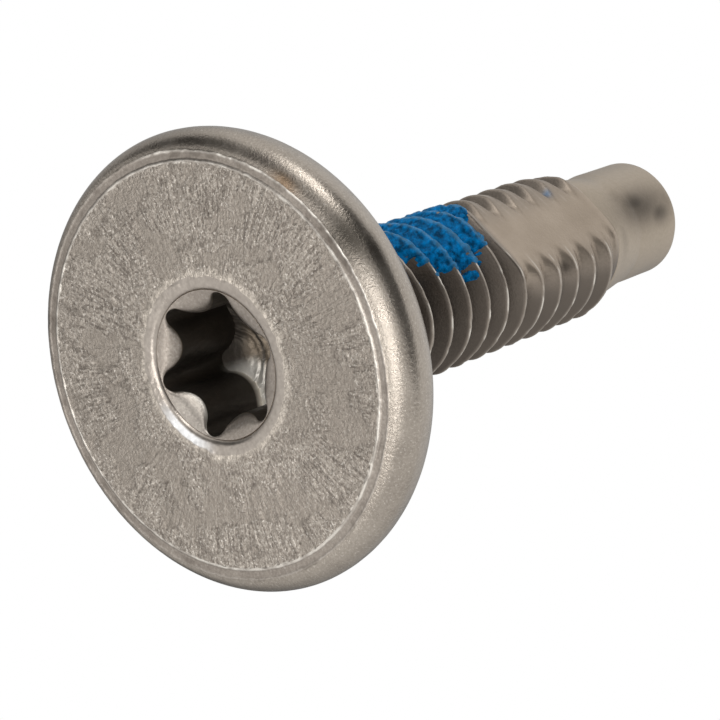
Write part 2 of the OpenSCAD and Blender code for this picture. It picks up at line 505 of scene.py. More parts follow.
@dataclass
class ClearingFlat:
    """The smooth flat that clears the last threads on one side of the shank."""

    reach: float = 2.3
    turn: float = -116.0
    fade_turn: float = -107.0
    fade_from: float = 15.0
    fade_to: float = 58.0
    rub_turn: float = -72.0
    rub_share: float = 0.58
    rub_heights: tuple[float, float] = (15.0, 18.5)
    rub_fade: tuple[float, float] = (34.0, 74.0)
    waist_turn: float = 190.0
    waist_width: float = 32.0
    waist_depth: float = 0.15
    waist_start: tuple[float, float] = (20.9, 22.4)
    waist_end: tuple[float, float] = (24.4, 25.4)
    soften: tuple[float, float] = (15.5, 17.0)
    start: float = 14.72
    pitch: float = 1.27
    climb: float = 0.4
    ramp_start: float = 20.6
    ramp_end: float = 26.0
    ramp_rise: float = 0.36

    def plane(self, angle: np.ndarray, height: np.ndarray) -> np.ndarray:
        """Gives the radius at which the flat's plane lies in each direction.

        Args:
            angle: Directions in degrees.
            height: Heights in millimetres.

        Returns:
            Radii, large where the plane faces away.
        """
        lead = self.start + 1.2 - height
        reach = self.reach + self.climb * 0.5 * (lead + np.sqrt(lead * lead + 0.04))
        reach = reach + self.ramp_rise * ease(height, self.ramp_start, self.ramp_end)
        slope = np.cos(np.radians(angle - self.turn))
        return np.where(slope > 0.2, reach / np.maximum(slope, 0.2), 99.0)

    def waist(self, angle: np.ndarray, height: np.ndarray) -> np.ndarray:
        """Says how much slimmer the shank is beside the flat's end.

        Args:
            angle: Directions in degrees.
            height: Heights in millimetres.

        Returns:
            Depths in millimetres.
        """
        slim = np.exp(-((turn_from(angle, self.waist_turn) / self.waist_width) ** 2))
        return self.waist_depth * slim * ease(height, *self.waist_start) * (1 - ease(height, *self.waist_end))

    def clear(self, angle: np.ndarray, height: np.ndarray) -> np.ndarray:
        """Says how far the grooves are filled and smoothed away.

        Args:
            angle: Directions in degrees.
            height: Heights in millimetres.

        Returns:
            Shares from 0 to 1.
        """
        off = np.abs(turn_from(angle, self.fade_turn))
        begin = self.start + self.pitch * (angle % 360) / 360
        return (1 - ease(off, self.fade_from, self.fade_to)) * ease(height - begin, -0.4, 0.3)

    def rubbed(self, angle: np.ndarray, height: np.ndarray) -> np.ndarray:
        """Says how shallow the worn grooves beside the flat are.

        Args:
            angle: Directions in degrees.
            height: Heights in millimetres.

        Returns:
            Shares from 0 to 1.
        """
        beside = np.abs(turn_from(angle, self.rub_turn))
        return self.rub_share * ease(height, *self.rub_heights) * (1 - ease(beside, *self.rub_fade))

    def shape(
        self, radius: np.ndarray, angle: np.ndarray, height: np.ndarray, crest: np.ndarray
    ) -> np.ndarray:
        """Cuts a round skin down to the flat, and lets its grooves run out softly into it.

        Args:
            radius: Radius of each point.
            angle: Direction of each point in degrees.
            height: Height of each point.
            crest: Radius that the crests reach at each point.

        Returns:
            The new radii.
        """
        plane = self.plane(angle, height)
        soft = 0.16 + 0.2 * ease(height, *self.soften)
        gap = plane - crest
        top = 0.5 * (plane + crest - np.sqrt(gap * gap + soft * soft))
        left = 1 - np.maximum(self.clear(angle, height), self.rubbed(angle, height))
        groove = np.maximum(top - radius, 0) * left
        return top - groove


@dataclass
class ScrewHead:
    """The washer head: its face, six-lobe socket, rim, bearing ring and neck, as one closed skin."""

    head_r: float = 8.75
    head_h: float = 2.5
    steps: int = 528
    offset: tuple[float, float] = (-0.05, 0.3)
    mouth_offset: tuple[float, float] = (-0.09, 0.2)
    field_h: float = 0.012
    land_h: float = 0.035
    line_r: float = 7.64
    roll_r: float = 8.1
    belly_h: float = 0.78
    bearing_r: float = 7.2
    foot_r: float = 2.83
    foot_h: float = 0.15
    land_drop: float = 0.5
    bevel_r: float = 3.24
    lip_r: float = 3.58
    lobe_c: float = 2.35
    lobe_tip_r: float = 0.45
    waist_c: float = 3.198
    waist_arc_r: float = 1.2034
    lobe_turn: float = 31.0
    lobe_half: float = 10.02
    socket_h: float = 3.45
    cone_h: float = 0.4
    shank_r: float = 3.15
    fillet_r: float = 0.4
    neck_top: float = 3.8
    core_r: float = 2.405
    core_top: float = 5.15
    floor_share: float = 0.97
    cone_r: float = 2.92
    waist_r: float = 1.995
    flow_share: float = 0.71237783
    bevel_glint: float = 56.0
    terrace_glint: float = 58.0
    floor_glint: float = 60.0
    bead_glint: float = -127.0
    dark_side_turn: float = -72.0
    tear: tuple[float, float] = (-0.35, 2.57)
    tear_r: float = 1.6
    line_steps: tuple[tuple[float, float], ...] = (
        (0.0, 0.006), (0.04, 0.0), (0.085, 0.004), (0.115, 0.035), (0.16, 0.035),
    )
    land_beads: tuple[tuple[float, float], ...] = (
        (0.2, 0.0), (0.4, 0.0), (0.58, 0.0), (0.7, 0.003), (0.8, 0.012), (0.9, 0.014), (1.0, 0.006),
    )
    # Darker patches on the rim and land: painted dark reflection where they mirror darker surroundings, with
    # some dirt
    spots: tuple[Spot, ...] = (
        Spot(-108, 0.2, 1.25, 0.45, 1.0),
        Spot(-102, 0.5, 0.9, 0.5, 0.8),
        Spot(-165, 0.1, 2.4, 0.3, 0.4),
        Spot(118, 0.05, 0.7, 0.4, 0.9),
        Spot(128, 0.15, 3.6, 0.5, 0.5),
        Spot(66, 0.3, 3.0, 0.5, 0.3),
        Spot(22, 0.3, 4.0, 0.6, 0.3),
    )
    stains: tuple[Spot, ...] = (Spot(-130, 0.05, 0.6, 0.07, 0.65),)
    rings: list[tuple[str, float, float, Zone]] = field(default_factory=list)

    def lobe_outline(self, angle: np.ndarray) -> np.ndarray:
        """Gives the socket's radius in each direction.

        Args:
            angle: Directions in radians.

        Returns:
            Radii in millimetres.
        """
        turn = np.degrees(angle) - self.lobe_turn
        off = (turn + 30) % 60 - 30
        tip = np.radians(off)
        inner = np.maximum(self.lobe_tip_r**2 - (self.lobe_c * np.sin(tip)) ** 2, 0)
        lobe = self.lobe_c * np.cos(tip) + np.sqrt(inner)
        waist = np.radians((turn % 60) - 30)
        inner = np.maximum(self.waist_arc_r**2 - (self.waist_c * np.sin(waist)) ** 2, 0)
        arc = self.waist_c * np.cos(waist) - np.sqrt(inner)
        return np.where(np.abs(off) < self.lobe_half, lobe, arc)

    def list_rings(self) -> None:
        """Lists every ring of the skin from the bottom of the socket outwards and round to the neck."""
        add = self.rings.append
        for share in np.linspace(0, 1, 25):
            add(("floor", share, 0, Zone.SOCKET))
        for share in np.linspace(0, 1, 12)[1:]:
            add(("wall", share, 0, Zone.SOCKET))
        for share in np.linspace(0, 1, 15)[1:] ** 1.5:
            add(("terrace", share, 0, Zone.LAND))
        add(("ring", self.foot_r + 0.015, self.foot_h + 0.03, Zone.MOUTH))
        add(("ring", self.foot_r + 0.03, self.foot_h - 0.005, Zone.MOUTH))
        for share in np.linspace(0, 1, 13)[1:]:
            drop = 0.045 * (1 - share) + (self.foot_h - 0.055) * (1 - share) ** 6
            add(("bevel", share, drop, Zone.MOUTH))
        for share in np.linspace(0, 1, 62)[1:]:
            add(("field", share, 0, Zone.FIELD))
        for reach, height in self.line_steps:
            add(("line", self.line_r + reach, height, Zone.LAND))
        for share, bead in self.land_beads:
            add(("land", share, self.land_h - bead, Zone.LAND))
        for angle in np.linspace(0, 90, 19)[1:]:
            add(("roll", math.radians(angle), 0, Zone.RIM))
        for angle in np.linspace(0, 90, 15)[1:]:
            side, up = polar(1.0, math.radians(angle))
            radius = self.bearing_r + (self.head_r - self.bearing_r) * side
            add(("ring", radius, self.belly_h + (self.head_h - self.belly_h) * up, Zone.RIM))
        for share in np.linspace(0, 1, 9)[1:]:
            radius = self.bearing_r + (self.shank_r + self.fillet_r - self.bearing_r) * share
            add(("ring", radius, self.head_h, Zone.RIM))
        for angle in np.linspace(0, 90, 7)[1:]:
            side, up = polar(self.fillet_r, math.radians(-90 - angle))
            add(("ring", self.shank_r + self.fillet_r + side, self.head_h + self.fillet_r + up, Zone.RIM))
        neck = ((self.shank_r, 3.3), (self.shank_r, self.neck_top), (2.7, 4.25), (self.core_r, 4.545))
        for radius, height in (*neck, (self.core_r, self.core_top), (0.0, self.core_top)):
            add(("ring", radius, height, Zone.RIM))

    def place_rings(self) -> np.ndarray:
        """Works out every vertex of the skin.

        Returns:
            Places in millimetres, by step round the axis and then by ring.
        """
        angle = np.arange(self.steps) * FULL / self.steps
        toward = np.stack([np.cos(angle), np.sin(angle)], axis=1)
        outline = self.lobe_outline(angle)
        shift, mouth_shift = np.array(self.offset), np.array(self.mouth_offset)
        ragged = fuzz(np.column_stack([3.4 * toward, np.zeros(len(angle))]), 0.55, 4, 3.0)
        mouth_edge = self.bevel_r + 0.05 + 0.07 * ragged
        along = toward @ shift
        roll_start = along + np.sqrt(along**2 - shift @ shift + self.roll_r**2)
        line_edge = along + np.sqrt(along**2 - shift @ shift + (self.line_r + 0.16) ** 2)
        jag = 0.035 * fuzz(np.column_stack([8.0 * toward, np.zeros(len(angle))]), 0.35, 3, 27.0)
        line_edge = line_edge + 0.7 * jag[::-1]
        full = (self.foot_r - outline) / (self.foot_r - self.waist_r)
        places = np.zeros((self.steps, len(self.rings), 3))
        for index, (kind, first, second, _zone) in enumerate(self.rings):
            centre = mouth_shift
            height = np.full(len(angle), float(second))
            if kind == "floor":
                radius = outline * first * self.floor_share
                height = self.socket_h + self.cone_h * (1 - radius / self.cone_r)
                height = height + self.torn(radius[:, None] * toward + centre)
            elif kind == "wall":
                radius = outline * (self.floor_share + (1 - self.floor_share) * ease(first, 0.0, 0.2))
                top = self.foot_h + self.land_drop * full
                bottom = self.socket_h + self.cone_h * (1 - outline * self.floor_share / self.cone_r)
                height = bottom + (top + 0.02 - bottom) * first
            elif kind == "terrace":
                radius = outline + (self.foot_r - outline) * first
                height = self.foot_h + self.land_drop * full * (0.2 * (1 - first) + 0.8 * (1 - first) ** 4)
            elif kind == "bevel":
                start = self.foot_r + 0.03
                radius = start + (mouth_edge - start) * first
                height = height + self.field_h * first
            elif kind == "field":
                start, end = mouth_edge, self.line_r
                radius = start + (end - start) * first
                centre = mouth_shift + (shift - mouth_shift) * first
                height = np.full(len(angle), self.field_h)
            elif kind == "line":
                radius, centre = first + 0.7 * jag[::-1], shift
            elif kind == "land":
                radius = line_edge + (roll_start + jag - line_edge) * first
                centre = np.zeros(2)
            elif kind == "roll":
                side = math.sin(first)
                radius = roll_start + (self.head_r - roll_start) * side + jag * (1 - side) ** 3
                height = self.belly_h - (self.belly_h - self.land_h) * math.cos(first) + 0 * radius
                centre = np.zeros(2)
            else:
                radius, centre = np.full(len(angle), first), np.zeros(2)
                if kind == "ring" and second < 0.3:
                    centre = mouth_shift
            places[:, index, :2] = radius[:, None] * toward + centre
            places[:, index, 2] = height
        return places

    def torn(self, spots: np.ndarray) -> np.ndarray:
        """Gives the torn steps that the punch left on the socket's floor.

        Args:
            spots: Places on the floor, across the head.

        Returns:
            Heights in millimetres.
        """
        off = np.hypot(spots[:, 0] - 0.05, spots[:, 1] - 2.6)
        wave = off + 0.12 * fuzz(np.column_stack([spots, np.zeros(len(spots))]), 0.5, 3, 17.0)
        step = (wave / 0.3) % 1.0
        return 0.05 * ease(step, 0.0, 0.25) * (1 - ease(step, 0.25, 1.0)) * ease(off, 0.9, 1.3)

    def stored_marks(self, places: np.ndarray) -> dict[str, np.ndarray]:
        """Works out the face's grain, wear and dirt, and where shade and highlights are painted on the head.

        Args:
            places: Vertices by step and ring.

        Returns:
            A share for each vertex, by name.
        """
        kinds = np.array([ring[0] for ring in self.rings])
        x, y, height = places[:, :, 0], places[:, :, 1], places[:, :, 2]
        turn, reach = np.degrees(np.arctan2(y, x)), np.hypot(x, y)
        from_mouth = np.hypot(x - self.mouth_offset[0], y - self.mouth_offset[1])
        on_field, on_floor = kinds == "field", kinds == "floor"
        on_face = np.isin(kinds, ["field", "bevel", "land"])
        rows = np.where(on_face)[0]
        spots = places[:, rows].reshape(-1, 3) * np.array([1.0, 1.0, 0.0])
        made = (fuzz(spots, 0.6, 4, 3.0), fuzz(spots, 0.16, 2, 7.0), *self.worn(spots))
        rough, fine, worn, edge = (self.spread(values, rows, turn.shape) for values in made)
        worn = worn * on_field
        edge = edge * on_field * (0.3 + 0.7 * ease(fine, -0.3, 0.2))
        border = self.lip_r + 0.16 * rough
        lip = (1 - ease(from_mouth, border - 0.2, border + 0.12)) * on_field
        lip = lip * (0.45 + 0.55 * ease(fine, -0.2, 0.3))
        flow = ease(reach, 4.3 + 0.8 * rough, 5.4 + 0.8 * rough) * (1 - 0.6 * ease(reach, 6.9, 7.6))
        # Dirt: random patches on the face and the rims of its worn patches
        dirt_and_painted_shade = np.maximum(0.5 * ease(rough, -0.2, -0.5) * on_face, 0.9 * edge * ease(reach, 3.7, 4.3))
        # The face is a little darker on one side
        dark_side = (1 - ease(np.abs(turn_from(turn, self.dark_side_turn)), 15, 50)) * ease(reach, 3.8, 4.6)
        dirt_and_painted_shade = np.maximum(dirt_and_painted_shade, 0.3 * dark_side * on_field)
        # Painted shade: the socket's walls, the hidden core above the neck and the socket floor towards its
        # shaded side are darkened. A dark line follows the torn step on the floor. Patches on the rim and
        # land are darkened: painted dark reflection where they mirror darker surroundings, with some dirt.
        torn = np.abs(np.hypot(x - self.tear[0], y - self.tear[1]) - self.tear_r)
        aside = 0.449 * x - 0.893 * y
        inner = (kinds == "wall") + 0.9 * ease(height, 4.0, 4.5)
        inner = inner + on_floor * (1 - ease(torn, 0.03, 0.09)) * (x < 0.8)
        inner = np.maximum(inner, 0.9 * on_floor * (1 - ease(aside, -2.0, -1.3)))
        on_roll = np.isin(kinds, ["roll", "land", "line"])
        inner = inner + on_roll * lay_spots(self.spots, turn, height, reach)
        return {
            "lip": lip,
            # painted highlights on the mouth's bevel, the line ring, the field's edge, the land's bead, the
            # terraces and the lit part of the socket floor
            "painted_highlight": self.painted_highlights(turn, from_mouth, rough, fine),
            "worn": worn * (1 - lip),
            "dirt_and_painted_shade": dirt_and_painted_shade + inner,
            "flow": self.flow_share * flow * (1 - worn),
            "rust": on_roll * lay_spots(self.stains, turn, height, reach),
        }

    def spread(self, values: np.ndarray, rows: np.ndarray, size: tuple[int, int]) -> np.ndarray:
        """Lays the values of some rings in a chart of all of them, with zeros elsewhere.

        Args:
            values: A value for each step and ring of those rings.
            rows: Numbers of those rings.
            size: Numbers of steps and of all rings.

        Returns:
            The chart.
        """
        chart = np.zeros(size)
        chart[:, rows] = values.reshape(-1, len(rows))
        return chart

    def painted_highlights(
        self, turn: np.ndarray, from_mouth: np.ndarray, rough: np.ndarray, fine: np.ndarray
    ) -> np.ndarray:
        """Works out where highlights are painted on edges, steps and the socket floor.

        Args:
            turn: Direction of each vertex in degrees, by step and ring.
            from_mouth: Distance of each vertex from the socket's middle.
            rough: Coarse noise at each vertex.
            fine: Fine noise at each vertex.

        Returns:
            Shares from 0 to 1.
        """
        line = np.zeros(turn.shape)
        land = [ring[0] for ring in self.rings].index("land")
        fade = 0.22 + 0.42 * ease(rough[:, land], -0.3, 0.25)
        for index, (kind, first, _second, _zone) in enumerate(self.rings):
            way, near = turn[:, index], from_mouth[:, index]
            if kind == "bevel":
                lit = 1 - ease(np.abs(turn_from(way, self.bevel_glint)), 6, 30)
                line[:, index] = 0.9 * lit * ease(near, 2.96, 3.06)
            elif kind == "line" and first < self.line_r + 0.1:
                line[:, index] = fade
            elif kind == "field" and first > 0.985:
                line[:, index] = 0.65 * ease(fine[:, index], 0.0, 0.35)
            elif kind == "floor":
                lower = 1 - ease(turn_from(way, self.floor_glint), 14, 34)
                line[:, index] = lower * ease(near, 0.9, 1.5) * (0.7 + 0.3 * ease(near, 1.5, 2.2))
            elif kind == "land" and first > 0.5:
                bead = 1 - 0.85 * ease(np.abs(turn_from(way, self.bead_glint)), 42, 56)
                broken = ease(rough[:, index] + 0.7 * fine[:, index], -0.25, 0.3)
                line[:, index] = bead * ease(first, 0.62, 0.82) * (0.25 + 0.75 * broken)
            elif kind == "terrace":
                lit = 1 - ease(np.abs(turn_from(way, self.terrace_glint)), 14, 36)
                line[:, index] = lit * (0.2 + 0.8 * (1 - ease(first, 0.02, 0.14)))
        return line

    def worn(self, spots: np.ndarray) -> tuple[np.ndarray, np.ndarray]:
        """Gives the irregular patches of the face that are rubbed smooth, and the soil at their edges.

        Args:
            spots: Places on the face in millimetres, one a row.

        Returns:
            Two rows of shares from 0 to 1.
        """
        level = fuzz(spots * np.array([1.0, 1.0, 0.0]), 1.5, 3, 21.0)
        return ease(level, 0.16, 0.2), ease(level, 0.11, 0.15) * (1 - ease(level, 0.16, 0.2))

    def emboss(self, places: np.ndarray) -> np.ndarray:
        """Presses the forged grain and the outward flow marks into the face.

        Args:
            places: Vertices by step and ring.

        Returns:
            The same vertices with their relief.
        """
        kinds = np.array([ring[0] for ring in self.rings])
        rows = np.where(np.isin(kinds, ["field", "bevel"]))[0]
        flat = places[:, rows, :].reshape(-1, 3)
        reach = np.hypot(flat[:, 0], flat[:, 1])
        ring = flat / np.maximum(reach, 0.01)[:, None] * 7.0
        ring[:, 2] = reach * 0.28
        flow = fuzz(ring, 0.34, 2, 11.0)
        where = ease(fuzz(flat, 2.6, 2, 5.0), -0.1, 0.45) * ease(reach, 4.2, 5.2)
        grain = fuzz(flat, 0.21, 3, 2.0)
        broad = fuzz(flat, 1.1, 2, 9.0)
        worn, _edge = self.worn(flat)
        live = ease(reach, 3.1, 3.5) * (1 - ease(reach, 7.6, 7.7))
        from_mouth = np.hypot(flat[:, 0] - self.mouth_offset[0], flat[:, 1] - self.mouth_offset[1])
        lip = ease(from_mouth, 3.28, 3.4) * (1 - ease(from_mouth, 3.65, 3.95))
        relief = 0.02 * grain * (1 - 0.55 * worn) + 0.022 * flow * where + 0.008 * broad + 0.012 * worn
        relief = relief + 0.03 * lip * np.maximum(fuzz(flat, 0.17, 2, 15.0), 0)
        raised = flat.copy()
        raised[:, 2] = np.maximum(flat[:, 2] + np.maximum(relief, -self.field_h) * live, 0.0)
        places[:, rows, :] = raised.reshape(len(places), len(rows), 3)
        return places

    def build(self) -> bpy.types.Object:
        """Builds the head.

        Returns:
            The finished piece.
        """
        self.list_rings()
        piece, step, ring = sweep_chart("screw_head", len(self.rings), self.steps)
        places = self.emboss(self.place_rings())
        write_points(piece, places[step, ring])
        for name, shares in self.stored_marks(places).items():
            write_mark(piece, name, shares[step, ring])
        write_mark(piece, "zone", np.array([made[3].value for made in self.rings])[ring])
        close_skin(piece, 50.0)
        return piece

    def dress(self, piece: bpy.types.Object, finishes: dict[Zone, bpy.types.Material]) -> None:
        """Gives each part of the skin its finish.

        Args:
            piece: The head.
            finishes: The material of each part.
        """
        for zone in Zone:
            piece.data.materials.append(finishes[zone])
        marks = np.empty(len(piece.data.vertices), dtype=np.float32)
        piece.data.attributes["zone"].data.foreach_get("value", marks)
        for face in piece.data.polygons:
            face.material_index = int(max(marks[v] for v in face.vertices))


@dataclass
class RolledThread:
    """The right-hand thread between the neck and the shoulder, with its run-outs."""

    flat: ClearingFlat
    crest_r: float = 3.15
    depth: float = 0.73
    pitch: float = 1.27
    crest_w: float = 0.16
    root_w: float = 0.22
    first_crest: float = 3.04
    low: float = 4.31
    high: float = 23.36
    fade: float = 0.75
    rise_turn: float = 1.2
    steps: int = 120
    turns: int = 16
    stations: int = 28
    round_w: float = 0.1
    swells: tuple[tuple[float, float, float], ...] = (
        (256, 36, -0.2), (0, 60, 0.03), (0, 11, 0.085), (180, 45, -0.09), (180, 11, 0.07),
    )
    spots: tuple[Spot, ...] = (Spot(293, 18.8, 0.25, 0.34, 0.65), Spot(264, 10.2, 0.5, 0.5, 0.3))
    dyed: tuple[Spot, ...] = (Spot(213.5, 21.1, 0.2, 0.18, 0.9),)
    lit_turn: float = 292.0
    beside_turn: float = -98.0
    below_turn: float = 345.0
    above_turn: float = 200.0

    def tooth(self, rise: np.ndarray) -> np.ndarray:
        """Gives the share of the full depth across one pitch, with rounded crest and root.

        Args:
            rise: Distance from the middle of a root, in millimetres.

        Returns:
            Shares from 0 at the root to 1 at the crest.
        """
        flank = (self.pitch - self.crest_w - self.root_w) / 2
        total = np.zeros_like(rise)
        shifts = np.linspace(-0.5, 0.5, 9) * self.round_w
        for shift in shifts:
            off = np.abs((rise + shift + self.pitch / 2) % self.pitch - self.pitch / 2)
            total += np.clip((off - self.root_w / 2) / flank, 0, 1)
        return total / len(shifts)

    def crests(self, angle: np.ndarray, height: np.ndarray) -> np.ndarray:
        """Gives the radius that the crests reach, which falls off in the run-outs.

        Args:
            angle: Directions in radians.
            height: Heights in millimetres.

        Returns:
            Radii in millimetres.
        """
        degrees = np.degrees(angle)
        radius = self.crest_r - self.depth * (1 - self.runout(angle, height))
        radius = radius - self.flat.waist(degrees, height)
        even = 1 - ease(height, 21.8, 23.2)
        for turn, width, swell in self.swells:
            radius = radius + swell * np.exp(-((turn_from(degrees, turn) / width) ** 2)) * even
        return radius

    def runout(self, angle: np.ndarray, height: np.ndarray) -> np.ndarray:
        """Gives the share of the thread's depth that is left, which starts and ends at nothing.

        Args:
            angle: Angle swept from the start of the helix, in radians.
            height: Heights in millimetres.

        Returns:
            Shares from 0 to 1.
        """
        left = np.minimum(height - self.low, self.high - height) / self.fade
        return np.clip(left, 0, 1) * ease(angle, 0.0, self.rise_turn)

    def surface(self, angle: np.ndarray, rise: np.ndarray) -> tuple[np.ndarray, np.ndarray, np.ndarray]:
        """Places points on the thread.

        Args:
            angle: Angle swept from the start of the helix, in radians.
            rise: Distance across the pitch from the middle of the first root.

        Returns:
            Radius, height and share of the depth of each point.
        """
        height = self.first_crest + self.pitch / 2 + rise + self.pitch * angle / FULL
        tooth, left = self.tooth(rise), self.runout(angle, height)
        return self.crests(angle, height) - self.depth * left * (1 - tooth), height, tooth * left

    def build(self) -> bpy.types.Object:
        """Builds the threaded part of the shank.

        Returns:
            The finished piece.
        """
        count = self.stations + 1
        piece, step, chain = sweep_chart("screw_thread", count, self.steps, self.pitch, self.turns)
        angle = step * FULL / self.steps
        degrees = np.degrees(angle)
        rise = chain * self.pitch / self.stations
        radius, height, share = self.surface(angle, rise)
        places = self.place(radius, angle, height)
        nicks = fuzz(places, 0.5, 3, 6.0)
        radius = radius - 0.03 * ease(share, 0.7, 1.0) * ease(nicks, 0.0, 0.5)
        radius = radius + 0.006 * fuzz(places, 1.2, 2, 8.0)
        crests = self.crests(angle, height)
        radius = self.flat.shape(radius, degrees, height, crests) - 0.03 * ease(height, 22.9, 23.2)
        write_points(piece, self.place(radius, angle, height))
        clear = self.flat.clear(degrees, height)
        bits = 0.1 + 0.9 * ease(fuzz(places, 0.5, 3, 23.0), -0.05, 0.35)
        # Painted highlights along the crests, brightest towards lit_turn; partly the crests' wear
        lit = 0.3 + 0.7 * (1 - ease(np.abs(turn_from(degrees, self.lit_turn)), 25, 60))
        off = np.abs((rise % self.pitch) - self.pitch / 2)
        write_mark(piece, "crest", (1 - ease(off, 0.0, 0.07)) * np.sqrt(1 - clear) * bits * lit)
        past = (degrees - self.beside_turn) % 360
        beside = ease(past, 0, 12) * (1 - ease(past, 60, 90)) * ease(height, 16.5, 18.0)
        ends = beside * (1 - ease(self.flat.plane(degrees, height) - crests, 0.1, 0.7))
        # Painted shade in the grooves, with some dirt: darkest near the head and on the lower side, lighter
        # on the upper side beyond the flat, and eased off where the grooves end beside the flat
        deep = ease(off, 0.04, 0.12) * (1 - clear) ** 2 * (1 - 0.75 * ends)
        below = 1 - ease(np.abs(turn_from(degrees, self.below_turn)), 25, 55)
        above = 1 - ease(np.abs(turn_from(degrees, self.above_turn)), 25, 50)
        fading = 1 - 0.6 * ease(height, 8.0, 20.0) * (1 - 0.5 * below)
        write_mark(piece, "dye", lay_spots(self.dyed, degrees, height, radius))
        write_mark(piece, "dirt_and_painted_shade", deep * fading * (1 - 0.5 * above * ease(height, 14.5, 16.5)))
        write_mark(piece, "clear", clear)
        write_mark(piece, "dark_patch", lay_spots(self.spots, degrees, height, radius))
        close_skin(piece, 60.0, caps=True)
        return piece

    def place(self, radius: np.ndarray, angle: np.ndarray, height: np.ndarray) -> np.ndarray:
        """Lays points on the shank.

        Args:
            radius: Radius of each point.
            angle: Direction of each point in radians.
            height: Height of each point.

        Returns:
            Places in millimetres.
        """
        return np.column_stack([radius * np.cos(angle), radius * np.sin(angle), height])


@dataclass
class DogPoint:
    """The shoulder behind the thread and the smooth dog point."""

    flat: ClearingFlat
    dog_r: float = 2.48
    tip: float = 28.1
    dog_start: float = 25.1
    shoulder_r: float = 2.79
    shoulder_h: float = 22.95
    back_h: float = 22.5
    core_r: float = 2.3
    round_r: float = 0.22
    steps: int = 160
    spots: tuple[Spot, ...] = (
        Spot(265, 25.6, 0.85, 1.8, 0.78),
        Spot(260, 25.4, 0.6, 1.1, 0.92),
        Spot(276, 26.8, 0.5, 0.8, 0.82),
        Spot(250, 24.5, 0.5, 0.7, 0.35),
        Spot(266, 27.5, 0.7, 0.6, 0.35),
        Spot(285, 23.6, 1.1, 0.3, 0.25),
    )

    def outline(self) -> list[tuple[float, float]]:
        """Lists the corners of the profile.

        Returns:
            Radius and height of each corner, in millimetres.
        """
        corners = [(0.0, self.back_h), (1.2, self.back_h), (self.core_r, self.back_h)]
        for share in np.linspace(0, 1, 6)[1:]:
            radius = self.core_r + (self.shoulder_r - self.core_r) * math.sin(share * math.pi / 2)
            corners.append((radius, self.back_h + (self.shoulder_h - self.back_h) * share))
        for share in np.linspace(0, 1, 25)[1:]:
            radius = self.shoulder_r + (self.dog_r - self.shoulder_r) * share
            corners.append((radius, self.shoulder_h + (self.dog_start - self.shoulder_h) * share))
        straight = self.tip - self.round_r
        for share in np.linspace(0, 1, 21)[1:]:
            corners.append((self.dog_r, self.dog_start + (straight - self.dog_start) * share))
        for angle in np.linspace(0, 90, 9)[1:]:
            side, up = polar(self.round_r, math.radians(angle))
            corners.append((self.dog_r - self.round_r + side, straight + up))
        for share in np.linspace(1, 0, 12)[1:]:
            corners.append(((self.dog_r - self.round_r) * share, self.tip))
        return corners

    def build(self) -> bpy.types.Object:
        """Builds the point.

        Returns:
            The finished piece.
        """
        piece = trace_profile("screw_point", self.outline())
        sweep(piece, self.steps)
        places = read_points(piece)
        reach = np.hypot(places[:, 0], places[:, 1])
        uneven = 0.012 * fuzz(places, 1.6, 2, 14.0) * ease(reach, 1.5, 2.2)
        radius = reach * (1 + uneven / np.maximum(reach, 0.5))
        degrees = np.degrees(np.arctan2(places[:, 1], places[:, 0]))
        radius = radius - self.flat.waist(degrees, places[:, 2]) * ease(reach, 2.0, 2.4)
        plane = self.flat.plane(degrees, places[:, 2])
        soft = 0.02 + 0.32 * (1 - ease(places[:, 2], 24.2, 25.6))
        gap = plane - radius
        cut = 0.5 * (plane + radius - np.sqrt(gap * gap + soft * soft))
        radius = np.where(reach > 2.0, cut, radius)
        places[:, :2] *= (radius / np.maximum(reach, 0.001))[:, None]
        write_points(piece, places)
        write_mark(piece, "dark_patch", lay_spots(self.spots, degrees, places[:, 2], reach))
        close_skin(piece, 40.0)
        return piece


@dataclass(frozen=True)
class Drop:
    """One drop or speck of nylon beside the patch."""

    angle: float
    height: float
    radius: float


